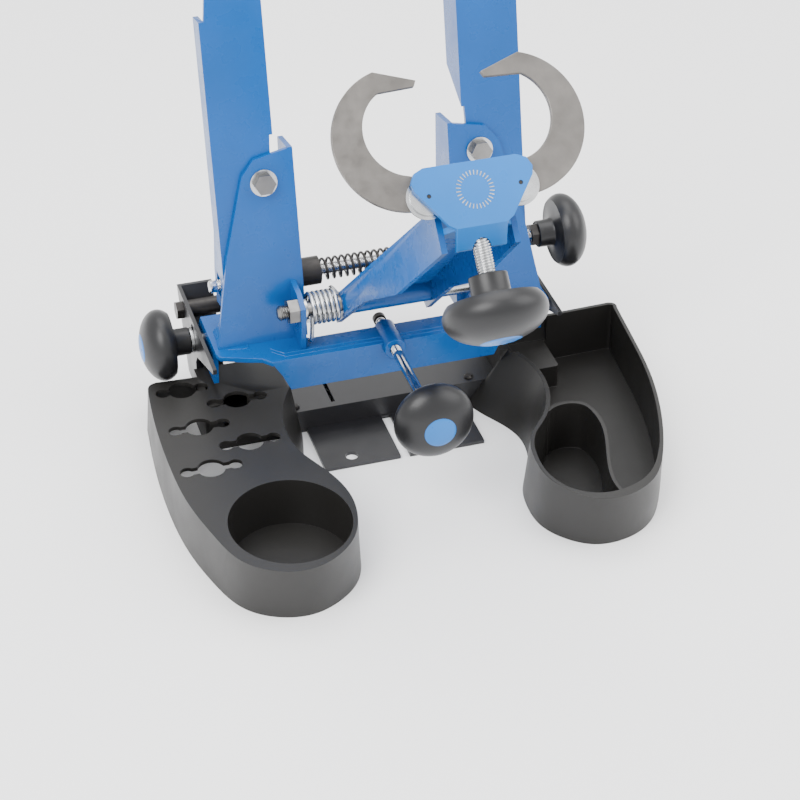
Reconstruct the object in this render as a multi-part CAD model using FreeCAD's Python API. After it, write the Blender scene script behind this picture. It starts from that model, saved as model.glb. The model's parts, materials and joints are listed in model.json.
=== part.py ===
"""Bicycle wheel truing stand on a tilting bench base with two tool trays.

Millimetres, +Z up, +X to the user's right, +Y away from the user.
The origin is on the bench surface, midway between the two bench-bolt holes.
"""
import FreeCAD, Part
import math
import os

V = FreeCAD.Vector

# ---- driving dimensions -------------------------------------------------
SHEET = 3.0                # black base sheet
FLANGE_FRONT = -11.0       # front edge of the floor flanges
FLANGE_HALF = 64.0
BENCH_HOLE_X = 40.0
BENCH_HOLE_R = 5.0
SLOT_HALF = 3.75
RISER_Y = 44.0             # front face of the riser
DECK_Z = 20.0              # top of the raised deck
DECK_BACK = 125.0
PLATE_IN = 136.0           # side plates, inner face
PLATE_TOP = 84.0
PLATE_FRONT = 28.0          # tip of the tapered nose
PLATE_BACK = 153.0          # top of the leaning back edge

TILT_Y = 134.0             # tilt pivot axis
TILT_Z = 72.0
TILT_R = 4.0
TILT_MAX = 15.0
LOCK_Y = 99.0              # tilt lock stud at rest
LOCK_Z = 66.0
LOCK_R = 4.0

BLUE_T = 4.0               # stand base sheet
BLUE_TOP = 88.0
BLUE_HALF = 133.0
BLUE_BACK = 96.0
LUG_OUT = 108.0             # tilt lugs behind the stand base
LUG_BACK = 147.0
APRON_Y = 20.0             # front face of the apron
APRON_LOW = 60.0
APRON_HALF = 81.0
BAR_DEPTH = 23.5
RAIL_IN = 70.0             # inner edge of the stand base behind the bar

FOOT_Y = 48.0              # front of the brackets where they meet the base
LEAN = 12.0                # brackets and arms lean back, degrees
STEEL = 4.0                # bracket and arm sheet
BOLT_X = 84.0
BOLT_UP = 126.0            # pivot bolt above the stand base, along the lean
BOLT_R = 4.76
BRACKET_IN = 60.0
BRACKET_LOW_OUT = 130.0
BRACKET_TOP_OUT = 100.0
BRACKET_H = 150.0
ARM_GAP = 0.5
ARM_IN = 76.0
ARM_OUT = 120.0
ARM_DEPTH = 32.0
ARM_LOW = 24.0
ARM_TOP = 378.0
AXLE_UP = 362.0            # wheel axle slot above the stand base, along the lean

CAL_Y = 37.0               # caliper axle
CAL_Z = 119.0
CAL_R = 6.0
STRAP_IN = 66.0            # upright straps that carry the axle
CAL_ANGLE = 43.0           # rise of the caliper arm
CAL_REACH = 280.0          # axle to the back of the caliper head
CAL_END = 271.0            # end of the folded channel
CAL_WEB = 252.0            # its top sheet stops short of the thrust block
CAL_HALF = 27.0            # half width of the arm at the head
CAL_WIDE = 38.0            # half width of the arm at the axle
CAL_TOP = 8.0
TONGUE_Y = 64.0            # face of the lug that the height screw pushes
JAW_X = 31.0               # jaw pivots in the caliper head
JAW_V = 14.0
JAW_T = 4.0
JAW_BACK = CAL_REACH - 3.1 - JAW_T
YOKE_V = 4.0               # near side of the thrust block
SCREW_N = CAL_REACH - 9.0  # caliper screw, measured along the arm

WIDTH_Y = 80.0             # width screw
WIDTH_Z = 124.0
WIDTH_R = 4.76

ROD_Z = 84.0               # height screw
ROD_R = 4.0

SHELF_BACK = 88.0          # trays lap over the deck as far as here
TRAY_H = 46.0
WALL = 3.0
BOWL_X = -118.5            # oval bowl in the left tray
BOWL_Y = -117.0
BOWL_RX = 44.5
BOWL_RY = 48.0
FIT = 0.05                 # radial running clearance


# ---- small helpers ------------------------------------------------------
def box(x0, x1, y0, y1, z0, z1):
    return Part.makeBox(x1 - x0, y1 - y0, z1 - z0, V(x0, y0, z0))


def rod(radius, start, end):
    start = V(*start)
    end = V(*end)
    return Part.makeCylinder(radius, (end - start).Length, start, end - start)


def tube(outer, inner, start, end):
    return rod(outer, start, end).cut(rod(inner, start, end))


def polygon(points):
    return Part.Face(Part.makePolygon([V(*p) for p in points + points[:1]]))


def prism(points, direction):
    return polygon(points).extrude(V(*direction))


def spline_wire(runs, z):
    """Closed wire from runs of plan points: two points give a line, more a smooth curve."""
    edges = []
    for run in runs:
        points = [V(x, y, z) for x, y in run]
        if len(points) == 2:
            edges.append(Part.makeLine(points[0], points[1]))
        else:
            curve = Part.BSplineCurve()
            curve.interpolate(points)
            edges.append(curve.toShape())
    return Part.Wire(edges)


def revolve(profile, start, axis):
    """Solid of revolution from (radius, distance along axis) points."""
    face = polygon([(r, 0, h) for r, h in profile])
    solid = face.revolve(V(0, 0, 0), V(0, 0, 1), 360)
    turn = FreeCAD.Rotation(V(0, 0, 1), V(*axis))
    return solid.transformGeometry(FreeCAD.Placement(V(*start), turn).toMatrix())


def hexagon(across, height, start, axis):
    corner = across / math.sqrt(3)
    points = []
    for k in range(6):
        a = math.radians(60 * k)
        points.append((corner * math.cos(a), corner * math.sin(a), 0))
    solid = prism(points, (0, 0, height))
    turn = FreeCAD.Rotation(V(0, 0, 1), V(*axis))
    return solid.transformGeometry(FreeCAD.Placement(V(*start), turn).toMatrix())


def fuse(shapes):
    solid = shapes[0]
    for other in shapes[1:]:
        solid = solid.fuse(other)
    return solid.removeSplitter()


def mirror_x(shape):
    return shape.mirror(V(0, 0, 0), V(1, 0, 0))


def lean(shape):
    """Stand a piece, drawn upright from the foot line, at the lean of the brackets."""
    moved = shape.copy()
    moved.translate(V(0, FOOT_Y, BLUE_TOP))
    moved.rotate(V(0, FOOT_Y, BLUE_TOP), V(1, 0, 0), -LEAN)
    return moved


def caliper_frame(shape):
    """Place a piece drawn with x across, y along v (up and back) and z along the arm."""
    moved = shape.copy()
    moved.rotate(V(0, 0, 0), V(1, 0, 0), 90 - CAL_ANGLE)
    moved.translate(V(0, CAL_Y, CAL_Z))
    return moved


def coil(radius, wire, pitch, turns, start, axis):
    """Round-wire helical spring; the helix starts on the piece's local +X side."""
    helix = Part.makeHelix(pitch, pitch * turns, radius)
    section = Part.Wire(Part.makeCircle(wire / 2, V(radius, 0, 0), V(0, 1, 0)))
    solid = Part.Wire(helix.Edges).makePipeShell([section], True, True)
    turn = FreeCAD.Rotation(V(0, 0, 1), V(*axis))
    return solid.transformGeometry(FreeCAD.Placement(V(*start), turn).toMatrix())


def save(name, shape):
    assert shape.isValid(), name
    shape.exportStep("parts/" + name + ".step")


# ---- black tilting base -------------------------------------------------
def base_plate():
    flange = box(-FLANGE_HALF, FLANGE_HALF, FLANGE_FRONT, RISER_Y + SHEET, 0, SHEET)
    riser = box(-PLATE_IN, PLATE_IN, RISER_Y, RISER_Y + SHEET, 0, DECK_Z)
    deck = box(-PLATE_IN, PLATE_IN, RISER_Y, DECK_BACK, DECK_Z - SHEET, DECK_Z)
    back = box(-PLATE_IN, PLATE_IN, DECK_BACK - SHEET, DECK_BACK, 0, DECK_Z)
    solid = fuse([flange, riser, deck, back])
    slot = box(-SLOT_HALF, SLOT_HALF, FLANGE_FRONT - 1, RISER_Y - 1, -1, SHEET + 1)
    solid = solid.cut(slot)
    for x in (-BENCH_HOLE_X, BENCH_HOLE_X):
        solid = solid.cut(rod(BENCH_HOLE_R, (x, 0, -1), (x, 0, SHEET + 1)))
    for x, z in tray_screw_places():
        solid = solid.cut(rod(2.5, (x, RISER_Y - 1, z), (x, RISER_Y + SHEET + 1, z)))
    for x, y in plate_screw_places():
        solid = solid.cut(rod(3.0, (x, y, DECK_Z - SHEET - 1), (x, y, DECK_Z + 1)))
    for x, y in deck_screw_places():
        solid = solid.cut(rod(2.0, (x, y, DECK_Z - SHEET - 1), (x, y, DECK_Z + 1)))
    return solid.cut(box(-42, -39, 50, 76, DECK_Z - SHEET - 1, DECK_Z + 1))


def tray_screw_places():
    return [(-124, 11), (-98, 11), (98, 11), (124, 11)]


def plate_screw_places():
    return [(side * 124, y) for side in (-1, 1) for y in (97, 116)]


def deck_screw_places():
    return [(-71, 51), (71, 51)]


def side_plate():
    """Left side plate; the right one is its mirror image without the lock slot."""
    x0 = -PLATE_IN - SHEET
    outline = [(92, DECK_Z), (DECK_BACK, DECK_Z), (PLATE_BACK, PLATE_TOP), (PLATE_FRONT, PLATE_TOP),
               (PLATE_FRONT, PLATE_TOP - 4), (86, 58), (92, 50)]
    wall = prism([(x0, y, z) for y, z in outline], (SHEET, 0, 0))
    foot = box(x0, -112, 92, 121, DECK_Z, DECK_Z + SHEET)
    back = prism([(x0, DECK_BACK - SHEET, DECK_Z), (x0, DECK_BACK, DECK_Z), (x0, PLATE_BACK, PLATE_TOP),
                  (x0, PLATE_BACK - SHEET, PLATE_TOP)], (28, 0, 0))
    solid = fuse([wall, foot, back])
    solid = solid.cut(rod(TILT_R, (x0 - 1, TILT_Y, TILT_Z), (-PLATE_IN + 1, TILT_Y, TILT_Z)))
    for x, y in plate_screw_places():
        solid = solid.cut(rod(3.0, (x, y, DECK_Z - 1), (x, y, DECK_Z + SHEET + 1)))
    return solid


def lock_slot():
    """Curved slot that the lock stud follows as the stand tilts."""
    radius = math.hypot(LOCK_Y - TILT_Y, LOCK_Z - TILT_Z)
    rest = math.degrees(math.atan2(LOCK_Z - TILT_Z, LOCK_Y - TILT_Y))
    x = -PLATE_IN - SHEET - 1
    half = LOCK_R + 0.4
    ring = tube(radius + half, radius - half, (x, TILT_Y, TILT_Z), (-PLATE_IN + 1, TILT_Y, TILT_Z))
    steps = [rest - TILT_MAX - 1, rest - TILT_MAX / 2, rest + 1]
    reach = 3 * radius
    fan = [(x, TILT_Y, TILT_Z)]
    for a in steps:
        y = TILT_Y + reach * math.cos(math.radians(a))
        z = TILT_Z + reach * math.sin(math.radians(a))
        fan.append((x, y, z))
    sector = prism(fan, (SHEET + 2, 0, 0))
    slot = ring.common(sector)
    for a in (steps[0], steps[-1]):
        y = TILT_Y + radius * math.cos(math.radians(a))
        z = TILT_Z + radius * math.sin(math.radians(a))
        slot = slot.fuse(rod(half, (x, y, z), (-PLATE_IN + 1, y, z)))
    return slot


def plate_screws():
    screws = []
    for x, y in plate_screw_places():
        shank = rod(3.0, (x, y, DECK_Z - SHEET - 4), (x, y, DECK_Z + SHEET))
        head = revolve([(0, 0), (5.5, 0), (5.5, 1.2), (3.6, 3.2), (0, 3.2)],
                       (x, y, DECK_Z + SHEET), (0, 0, 1))
        screws.append(fuse([shank, head]))
    return Part.makeCompound(screws)


def deck_screws():
    screws = []
    for x, y in deck_screw_places():
        shank = rod(2.0, (x, y, DECK_Z - SHEET - 3), (x, y, DECK_Z))
        head = revolve([(0, 0), (3.6, 0), (3.6, 0.8), (2.4, 2.0), (0, 2.0)], (x, y, DECK_Z), (0, 0, 1))
        screws.append(fuse([shank, head]))
    return Part.makeCompound(screws)


def tray_screws():
    """Driven forwards through the riser into the back walls of the trays."""
    screws = []
    back = RISER_Y + SHEET
    for x, z in tray_screw_places():
        shank = rod(2.5, (x, RISER_Y - WALL + 0.2, z), (x, back, z))
        head = revolve([(0, 0), (4.6, 0), (4.6, 1.0), (3.0, 2.8), (0, 2.8)], (x, back, z), (0, 1, 0))
        screws.append(fuse([shank, head]))
    return Part.makeCompound(screws)


def tilt_pivots():
    """Two long shouldered bolts, one through each side plate into a lug of the stand base."""
    bolts = []
    for side in (-1, 1):
        out = side * (PLATE_IN + SHEET)
        shank = rod(TILT_R, (side * (LUG_OUT - 10), TILT_Y, TILT_Z), (out, TILT_Y, TILT_Z))
        collar = tube(7, TILT_R, (side * (LUG_OUT + 0.3), TILT_Y, TILT_Z), (side * PLATE_IN, TILT_Y, TILT_Z))
        head = hexagon(13, 5.5, (out, TILT_Y, TILT_Z), (side, 0, 0))
        bolts.append(fuse([shank, collar, head]))
    return Part.makeCompound(bolts)


def tilt_pivot_nuts():
    nuts = []
    for side in (-1, 1):
        start = side * (LUG_OUT - 9.5)
        nut = hexagon(13, 5.0, (start, TILT_Y, TILT_Z), (side, 0, 0))
        nuts.append(nut.cut(rod(TILT_R, (start - side, TILT_Y, TILT_Z), (start + side * 6, TILT_Y, TILT_Z))))
    return Part.makeCompound(nuts)


# ---- trays --------------------------------------------------------------
LEFT_TOP = [
    [(-141, 44), (-141, 77)],
    [(-141, 77), (-174, 79)],
    [(-174, 79), (-179, 77), (-182, 71)],
    [(-182, 71), (-187, 6), (-187, -30), (-184, -74), (-174, -120), (-160, -154), (-138, -170),
     (-118, -173), (-97, -165), (-80, -148), (-71, -126), (-69, -100), (-74, -77), (-83, -56),
     (-91, -37), (-94, -15), (-92, 6), (-86, 25), (-76, 44)],
    [(-76, 44), (-141, 44)],
]
LEFT_LOW = [
    [(-141, 44), (-141, 88)],
    [(-141, 88), (-174, 91)],
    [(-174, 91), (-180, 88), (-183, 82)],
    [(-183, 82), (-189, 6), (-189, -30), (-185, -76), (-175, -118), (-160, -150), (-138, -165),
     (-116, -168), (-95, -160), (-78, -145), (-69, -126), (-66, -100), (-68, -74), (-74, -45),
     (-78, -20), (-76, 6), (-71, 28), (-68, 44)],
    [(-68, 44), (-141, 44)],
]
RIGHT_TOP = [
    [(141, 44), (141, 81)],
    [(141, 81), (200, 83)],
    [(200, 83), (205, 80), (205, 74)],
    [(205, 74), (201, 25), (196, -20), (184, -72), (168, -115), (147, -147), (122, -159),
     (104, -158), (86, -144), (74, -120), (73, -96), (80, -70), (94, -52), (105, -34),
     (111, -14), (112, 10), (107, 30), (101, 44)],
    [(101, 44), (141, 44)],
]
RIGHT_LOW = [
    [(141, 44), (141, 90)],
    [(141, 90), (201, 92)],
    [(201, 92), (206, 89), (206, 83)],
    [(206, 83), (203, 25), (198, -20), (186, -72), (169, -112), (147, -143), (122, -154),
     (102, -153), (84, -141), (71, -120), (69, -96), (74, -72), (84, -54), (91, -34),
     (92, -12), (86, 6), (77, 22), (68, 44)],
    [(68, 44), (141, 44)],
]


def drafted(low, top, z0, z1):
    return Part.makeLoft([spline_wire(low, z0), spline_wire(top, z1)], True, True)


def hollow(runs, amount, z):
    """Face of a plan outline moved inwards by the wall thickness, with plain spline edges."""
    offset = Part.Face(spline_wire(runs, z)).makeOffset2D(-amount)
    edges = []
    for edge in offset.OuterWire.OrderedEdges:
        ends = [vertex.Point for vertex in edge.Vertexes]
        if edge.Orientation == "Reversed":
            ends.reverse()
        points = edge.discretize(28)
        if (points[0] - ends[0]).Length > (points[-1] - ends[0]).Length:
            points.reverse()
        points[0] = ends[0]
        points[-1] = ends[1]
        straight = Part.makeLine(ends[0], ends[1])
        if edge.Length < straight.Length + 0.001:
            edges.append(straight)
        else:
            curve = Part.BSplineCurve()
            curve.interpolate(points)
            edges.append(curve.toShape())
    return Part.Face(Part.Wire(edges))


def keyhole(x, y, radius, ear, reach):
    """Round wrench socket with a rounded ear on each side, joined by narrow necks."""
    low = TRAY_H - WALL - 1
    high = TRAY_H + 1
    solid = rod(radius, (x, y, DECK_Z + 1), (x, y, high))
    solid = solid.fuse(box(x - reach, x + reach, y - 0.7 * ear, y + 0.7 * ear, low, high))
    for end in (-reach, reach):
        solid = solid.fuse(rod(ear, (x + end, y, low), (x + end, y, high)))
    return solid


def wrench_sockets():
    places = [(-158, -40, 18), (-155, 12.5, 18), (-157, 63, 15), (-123, -16, 18), (-119.5, 39, 18)]
    return [keyhole(x, y, 10.5, 5.5, reach) for x, y, reach in places]


def oval(cx, cy, rx, ry, z0, z1):
    disc = Part.makeCylinder(1.0, z1 - z0, V(0, 0, z0))
    matrix = FreeCAD.Matrix()
    matrix.scale(rx, ry, 1.0)
    shape = disc.transformGeometry(matrix)
    shape.translate(V(cx, cy, 0))
    return shape


def left_tray():
    outer = drafted(LEFT_LOW, LEFT_TOP, 0, TRAY_H)
    low = hollow(LEFT_LOW, WALL, -1).Wires[0]
    top = hollow(LEFT_TOP, WALL, TRAY_H - WALL).Wires[0]
    inner = Part.makeLoft([low, top], True, True)
    bowl_wall = oval(BOWL_X, BOWL_Y, BOWL_RX + 6.5, BOWL_RY + 6.5, WALL, TRAY_H + 5)
    bowl = oval(BOWL_X, BOWL_Y, BOWL_RX, BOWL_RY, 2 * WALL, TRAY_H + 1)
    solid = outer.cut(inner.cut(bowl_wall)).cut(bowl)
    shelf = box(-142, -78, RISER_Y - 1, SHELF_BACK, DECK_Z, TRAY_H)
    under = box(-138, -78 - WALL, RISER_Y + 0.5, SHELF_BACK - WALL, DECK_Z - 1, TRAY_H - WALL)
    solid = solid.fuse(shelf).cut(under)
    for socket in wrench_sockets():
        solid = solid.cut(socket)
    for x, z in tray_screw_places()[:2]:
        solid = solid.cut(rod(2.5, (x, RISER_Y - WALL - 1, z), (x, RISER_Y + 1, z)))
    return solid.Solids[0]


CUP_OUTER = [(101, -44), (109, -36.7), (122, -35.7), (133, -40.7), (138, -53), (138, -74), (129, -165)]
CUP_INNER = [(126, -165), (135, -74), (135, -54), (131, -43), (122, -38.7), (111, -39.6), (104, -44)]


def right_tray():
    outer = drafted(RIGHT_LOW, RIGHT_TOP, 0, TRAY_H)
    depth = V(0, 0, TRAY_H)
    basin = hollow(RIGHT_TOP, WALL, WALL).extrude(depth).common(hollow(RIGHT_LOW, WALL, WALL).extrude(depth))
    solid = outer.cut(basin)
    runs = [CUP_OUTER, [CUP_OUTER[-1], CUP_INNER[0]], CUP_INNER, [CUP_INNER[-1], CUP_OUTER[0]]]
    cup_wall = Part.Face(spline_wire(runs, WALL)).extrude(V(0, 0, TRAY_H - WALL - 1))
    solid = solid.fuse(cup_wall.common(basin))
    shelf = box(94, 142, RISER_Y - 1, SHELF_BACK - 5, DECK_Z, TRAY_H)
    over = box(103, 146, 38, SHELF_BACK - 5 - WALL, DECK_Z + WALL, TRAY_H + 1)
    solid = solid.fuse(shelf).cut(over)
    for x, z in tray_screw_places()[2:]:
        solid = solid.cut(rod(2.5, (x, RISER_Y - WALL - 1, z), (x, RISER_Y + 1, z)))
    return solid.Solids[0]


# ---- blue stand base ----------------------------------------------------
def stand_base():
    z0 = BLUE_TOP - BLUE_T
    back_y = APRON_Y + BAR_DEPTH
    half = [(LUG_OUT, BLUE_BACK), (BLUE_HALF, BLUE_BACK), (BLUE_HALF, 43), (BLUE_HALF - 2, 38),
            (112, 30.5), (101, 27), (95, APRON_Y)]
    plan = half + [(-x, y) for x, y in reversed(half)]
    plan += [(-LUG_OUT, LUG_BACK), (-LUG_OUT + 16, LUG_BACK), (-LUG_OUT + 16, BLUE_BACK), (-RAIL_IN, BLUE_BACK),
             (-RAIL_IN, back_y + 10), (-RAIL_IN + 10, back_y), (RAIL_IN - 10, back_y), (RAIL_IN, back_y + 10),
             (RAIL_IN, BLUE_BACK), (LUG_OUT - 16, BLUE_BACK), (LUG_OUT - 16, LUG_BACK), (LUG_OUT, LUG_BACK)]
    top = prism([(x, y, z0) for x, y in plan], (0, 0, BLUE_T))
    edge = [(APRON_HALF, APRON_LOW), (APRON_HALF + 6.5, 74), (APRON_HALF + 12, 83), (95, BLUE_TOP)]
    front = edge + [(-x, z) for x, z in reversed(edge)]
    apron = prism([(x, APRON_Y, z) for x, z in front], (0, BLUE_T, 0))
    lip = box(-RAIL_IN + 10, RAIL_IN - 10, back_y - BLUE_T, back_y, BLUE_TOP - 14, BLUE_TOP)
    pieces = [top, apron, lip]
    side_wall = [(54, 80), (56, 52), (112, 50), (112, 66), (BLUE_BACK, BLUE_TOP), (54, BLUE_TOP)]
    lug = [(88, BLUE_TOP), (88, 76), (TILT_Y - 8, 60), (LUG_BACK, 64), (LUG_BACK, BLUE_TOP)]
    for side in (-1, 1):
        for x, outline in ((side * (BLUE_HALF - BLUE_T / 2), side_wall), (side * (LUG_OUT - BLUE_T / 2), lug)):
            pieces.append(prism([(x - BLUE_T / 2, y, z) for y, z in outline], (BLUE_T, 0, 0)))
    solid = fuse(pieces)
    solid = solid.cut(rod(8.5, (0, APRON_Y - 1, ROD_Z), (0, back_y + 1, ROD_Z)))
    for side in (-1, 1):
        hole = rod(TILT_R + FIT, (side * 100, TILT_Y, TILT_Z), (side * 110, TILT_Y, TILT_Z))
        solid = solid.cut(hole)
    return solid.cut(rod(LOCK_R + FIT, (-140, LOCK_Y, LOCK_Z), (-120, LOCK_Y, LOCK_Z)))


def height_bush():
    return tube(8.5, ROD_R + FIT, (0, APRON_Y - 5, ROD_Z), (0, APRON_Y + BAR_DEPTH + 2, ROD_Z))


def left_bracket():
    """Welded lower upright: leaning front plate, inner side wall, strap for the axle."""
    plate = [(-BRACKET_LOW_OUT, 0), (-BRACKET_IN, 0), (-BRACKET_IN, BRACKET_H),
             (-BRACKET_TOP_OUT + 10, BRACKET_H - 6), (-BRACKET_TOP_OUT, BRACKET_H - 18),
             (-117, 70)]
    front = prism([(x, 0, z) for x, z in plate], (0, STEEL, 0))
    side = prism([(-BRACKET_IN - STEEL, 0, 0), (-BRACKET_IN - STEEL, 48, 0),
                  (-BRACKET_IN - STEEL, 44, 60), (-BRACKET_IN - STEEL, 30, BRACKET_H),
                  (-BRACKET_IN - STEEL, 0, BRACKET_H)], (STEEL, 0, 0))
    solid = fuse([front, side])
    solid = solid.cut(rod(BOLT_R + FIT, (-BOLT_X, -1, BOLT_UP), (-BOLT_X, STEEL + 1, BOLT_UP)))
    solid = lean(solid)
    half_space = box(-200, 0, 0, 200, BLUE_TOP - 20, BLUE_TOP)
    solid = solid.cut(half_space)
    flange = prism([(-BRACKET_LOW_OUT + 1, 0, 0), (-BRACKET_LOW_OUT + 1, 32, 0), (-126.4, 4, 20),
                    (-126.4, 0, 20)], (STEEL, 0, 0))
    solid = solid.fuse(lean(flange).cut(half_space))
    strap = prism([(-STRAP_IN - STEEL, 30, BLUE_TOP), (-STRAP_IN - STEEL, 51, BLUE_TOP),
                   (-STRAP_IN - STEEL, 58, CAL_Z + 14), (-STRAP_IN - STEEL, 40, CAL_Z + 13),
                   (-STRAP_IN - STEEL, 27, CAL_Z + 6), (-STRAP_IN - STEEL, 27, CAL_Z - 8)], (STEEL, 0, 0))
    solid = fuse([solid, strap])
    solid = solid.cut(rod(CAL_R, (-90, CAL_Y, CAL_Z), (-60, CAL_Y, CAL_Z)))
    solid = solid.cut(rod(WIDTH_R + 1.2, (-70, WIDTH_Y, WIDTH_Z), (-50, WIDTH_Y, WIDTH_Z)))
    return solid


def arm_bolts():
    bolts = []
    for side in (-1, 1):
        x = side * BOLT_X
        shank = rod(BOLT_R, (x, -2, BOLT_UP), (x, 22, BOLT_UP))
        head = hexagon(14.3, 6.0, (x, -2, BOLT_UP), (0, -1, 0))
        bolts.append(lean(fuse([shank, head])))
    return Part.makeCompound(bolts)


def arm_washers():
    rings = []
    for side in (-1, 1):
        x = side * BOLT_X
        rings.append(lean(tube(10.3, BOLT_R + FIT, (x, -2, BOLT_UP), (x, 0, BOLT_UP))))
    return Part.makeCompound(rings)


def arm_nuts():
    nuts = []
    for side in (-1, 1):
        x = side * BOLT_X
        y = STEEL + ARM_GAP + STEEL + 1.0
        nut = hexagon(14.3, 8.0, (x, y, BOLT_UP), (0, 1, 0))
        nuts.append(lean(nut.cut(rod(BOLT_R, (x, y - 1, BOLT_UP), (x, y + 10, BOLT_UP)))))
    return Part.makeCompound(nuts)


# ---- upright arms -------------------------------------------------------
def left_arm():
    y0 = STEEL + ARM_GAP
    web = [(-ARM_OUT, ARM_LOW), (-ARM_IN, ARM_LOW), (-ARM_IN, 250), (-ARM_IN + 3, ARM_TOP - 30),
           (-ARM_IN + 3, ARM_TOP), (-ARM_IN - 26, ARM_TOP), (-ARM_OUT + 4, 250)]
    plate = prism([(x, y0, z) for x, z in web], (0, STEEL, 0))
    inner = prism([(-ARM_IN - STEEL, y0, ARM_LOW), (-ARM_IN - STEEL, y0 + ARM_DEPTH, ARM_LOW),
                   (-ARM_IN - STEEL, y0 + ARM_DEPTH, 90), (-ARM_IN - STEEL, y0 + STEEL, 108),
                   (-ARM_IN - STEEL, y0, 108)], (STEEL, 0, 0))
    upper = prism([(-ARM_IN + 3 - STEEL, y0, 160), (-ARM_IN + 3 - STEEL, y0 + ARM_DEPTH, 185),
                   (-ARM_IN + 3 - STEEL, y0 + ARM_DEPTH, ARM_TOP), (-ARM_IN + 3 - STEEL, y0, ARM_TOP)],
                  (STEEL, 0, 0))
    link = prism([(-ARM_IN - STEEL, y0, 150), (-ARM_IN, y0, 150), (-ARM_IN + 3, y0, 200),
                  (-ARM_IN - STEEL, y0, 200)], (0, STEEL, 0))
    outer = prism([(-ARM_OUT, y0, ARM_LOW), (-ARM_OUT, y0 + ARM_DEPTH + 3, ARM_LOW),
                   (-ARM_OUT, y0 + ARM_DEPTH, 52), (-ARM_OUT, y0 + 20, 86), (-ARM_OUT, y0 + 20, 250),
                   (-ARM_OUT, y0, 250)], (STEEL, 0, 0))
    solid = fuse([plate, inner, upper, link, outer])
    solid = solid.cut(rod(BOLT_R + FIT, (-BOLT_X, y0 - 1, BOLT_UP), (-BOLT_X, y0 + STEEL + 1, BOLT_UP)))
    solid = lean(solid)
    for x in (-ARM_OUT, -ARM_IN - STEEL):
        window = box(x - 1, x + STEEL + 1, WIDTH_Y - 6.6, WIDTH_Y + 6.6, WIDTH_Z - 9, WIDTH_Z + 9)
        solid = solid.cut(window)
    return solid


def left_dropout():
    """Hardened plate with the open axle slot, screwed inside the arm's top."""
    x = -ARM_IN + 3
    y0 = STEEL + ARM_GAP
    yc = y0 + ARM_DEPTH / 2 + 2
    outline = [(x, y0, AXLE_UP - 60), (x, y0 + ARM_DEPTH, AXLE_UP - 60), (x, y0 + ARM_DEPTH, ARM_TOP + 8),
               (x, yc + 11, ARM_TOP + 18), (x, yc - 11, ARM_TOP + 18), (x, y0, ARM_TOP + 8)]
    plate = prism(outline, (STEEL, 0, 0))
    slot = box(x - 1, x + STEEL + 1, yc - 5.2, yc + 5.2, AXLE_UP, ARM_TOP + 20)
    seat = rod(5.2, (x - 1, yc, AXLE_UP), (x + STEEL + 1, yc, AXLE_UP))
    plate = plate.cut(slot).cut(seat)
    for z in dropout_screw_heights():
        plate = plate.cut(rod(2.5, (x - 1, yc, z), (x + STEEL + 1, yc, z)))
    return lean(plate)


def dropout_screw_heights():
    return [AXLE_UP - 46, AXLE_UP - 24]


def slotted(arm):
    """Open the arm's top where the axle passes, and drill it for the dropout screws."""
    y0 = STEEL + ARM_GAP
    yc = y0 + ARM_DEPTH / 2 + 2
    x = -ARM_IN + 3
    cut = box(x - 60, x + 1, yc - 8, yc + 8, AXLE_UP - 4, ARM_TOP + 20)
    solid = arm.cut(lean(cut))
    for z in dropout_screw_heights():
        solid = solid.cut(lean(rod(2.5, (x - STEEL - 1, yc, z), (x + 1, yc, z))))
    return solid


def left_dropout_screws():
    y0 = STEEL + ARM_GAP
    yc = y0 + ARM_DEPTH / 2 + 2
    x = -ARM_IN + 3
    screws = []
    for z in dropout_screw_heights():
        shank = rod(2.5, (x - STEEL - 3, yc, z), (x + STEEL, yc, z))
        head = revolve([(0, 0), (4.5, 0), (4.5, 1), (3.2, 2.6), (0, 2.6)], (x + STEEL, yc, z), (1, 0, 0))
        screws.append(lean(fuse([shank, head])))
    return Part.makeCompound(screws)


def left_trunnion():
    """Round cross nut in the lower end of the arm, bored clear of the width screw."""
    y0 = WIDTH_Y
    x = -ARM_IN - STEEL
    body = rod(9, (x - 7, y0, WIDTH_Z), (x, y0, WIDTH_Z))
    return body.cut(rod(WIDTH_R + 1.0, (x - 8, y0, WIDTH_Z), (x + 1, y0, WIDTH_Z)))


# ---- width screw --------------------------------------------------------
def along_width(x):
    return (x, WIDTH_Y, WIDTH_Z)


def width_rod():
    return rod(WIDTH_R, along_width(-128), along_width(150))


def width_collar():
    solid = tube(11, WIDTH_R, along_width(-58), along_width(-42))
    return solid.cut(rod(2.5, (-50, WIDTH_Y, WIDTH_Z - 12), (-50, WIDTH_Y, WIDTH_Z - WIDTH_R)))


def collar_screw():
    return rod(2.5, (-50, WIDTH_Y, WIDTH_Z - 11), (-50, WIDTH_Y, WIDTH_Z - WIDTH_R - 0.2))


def width_spring():
    turns = 18
    pitch = 5.2
    return coil(7.9, 2.0, pitch, turns, along_width(-40.5), (1, 0, 0))


def width_nut():
    return hexagon(16, 5.5, along_width(129.5), (1, 0, 0)).cut(rod(WIDTH_R, along_width(126), along_width(136)))


def knob(radius, thick, hub_r, hub_len, bore, depth):
    """Mushroom knob: the axis starts at the hub's end and points out through the crown."""
    profile = [(hub_r, 0), (hub_r, hub_len - 1), (radius * 0.62, hub_len), (radius * 0.9, hub_len + 2.5)]
    steps = 14
    for k in range(steps + 1):
        a = math.radians(-28 + (90 + 28 - 12) * k / steps)
        profile.append((radius * math.cos(a), hub_len + thick * 0.34 + thick * 0.66 * math.sin(a)))
    crown = profile[-1][1]
    profile.append((0, crown))
    profile.append((0, depth))
    profile.append((bore, depth))
    profile.append((bore, 0))
    return profile


def width_knob():
    return revolve(knob(29, 28, 10.5, 13, WIDTH_R, 15), along_width(135), (1, 0, 0))


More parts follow.
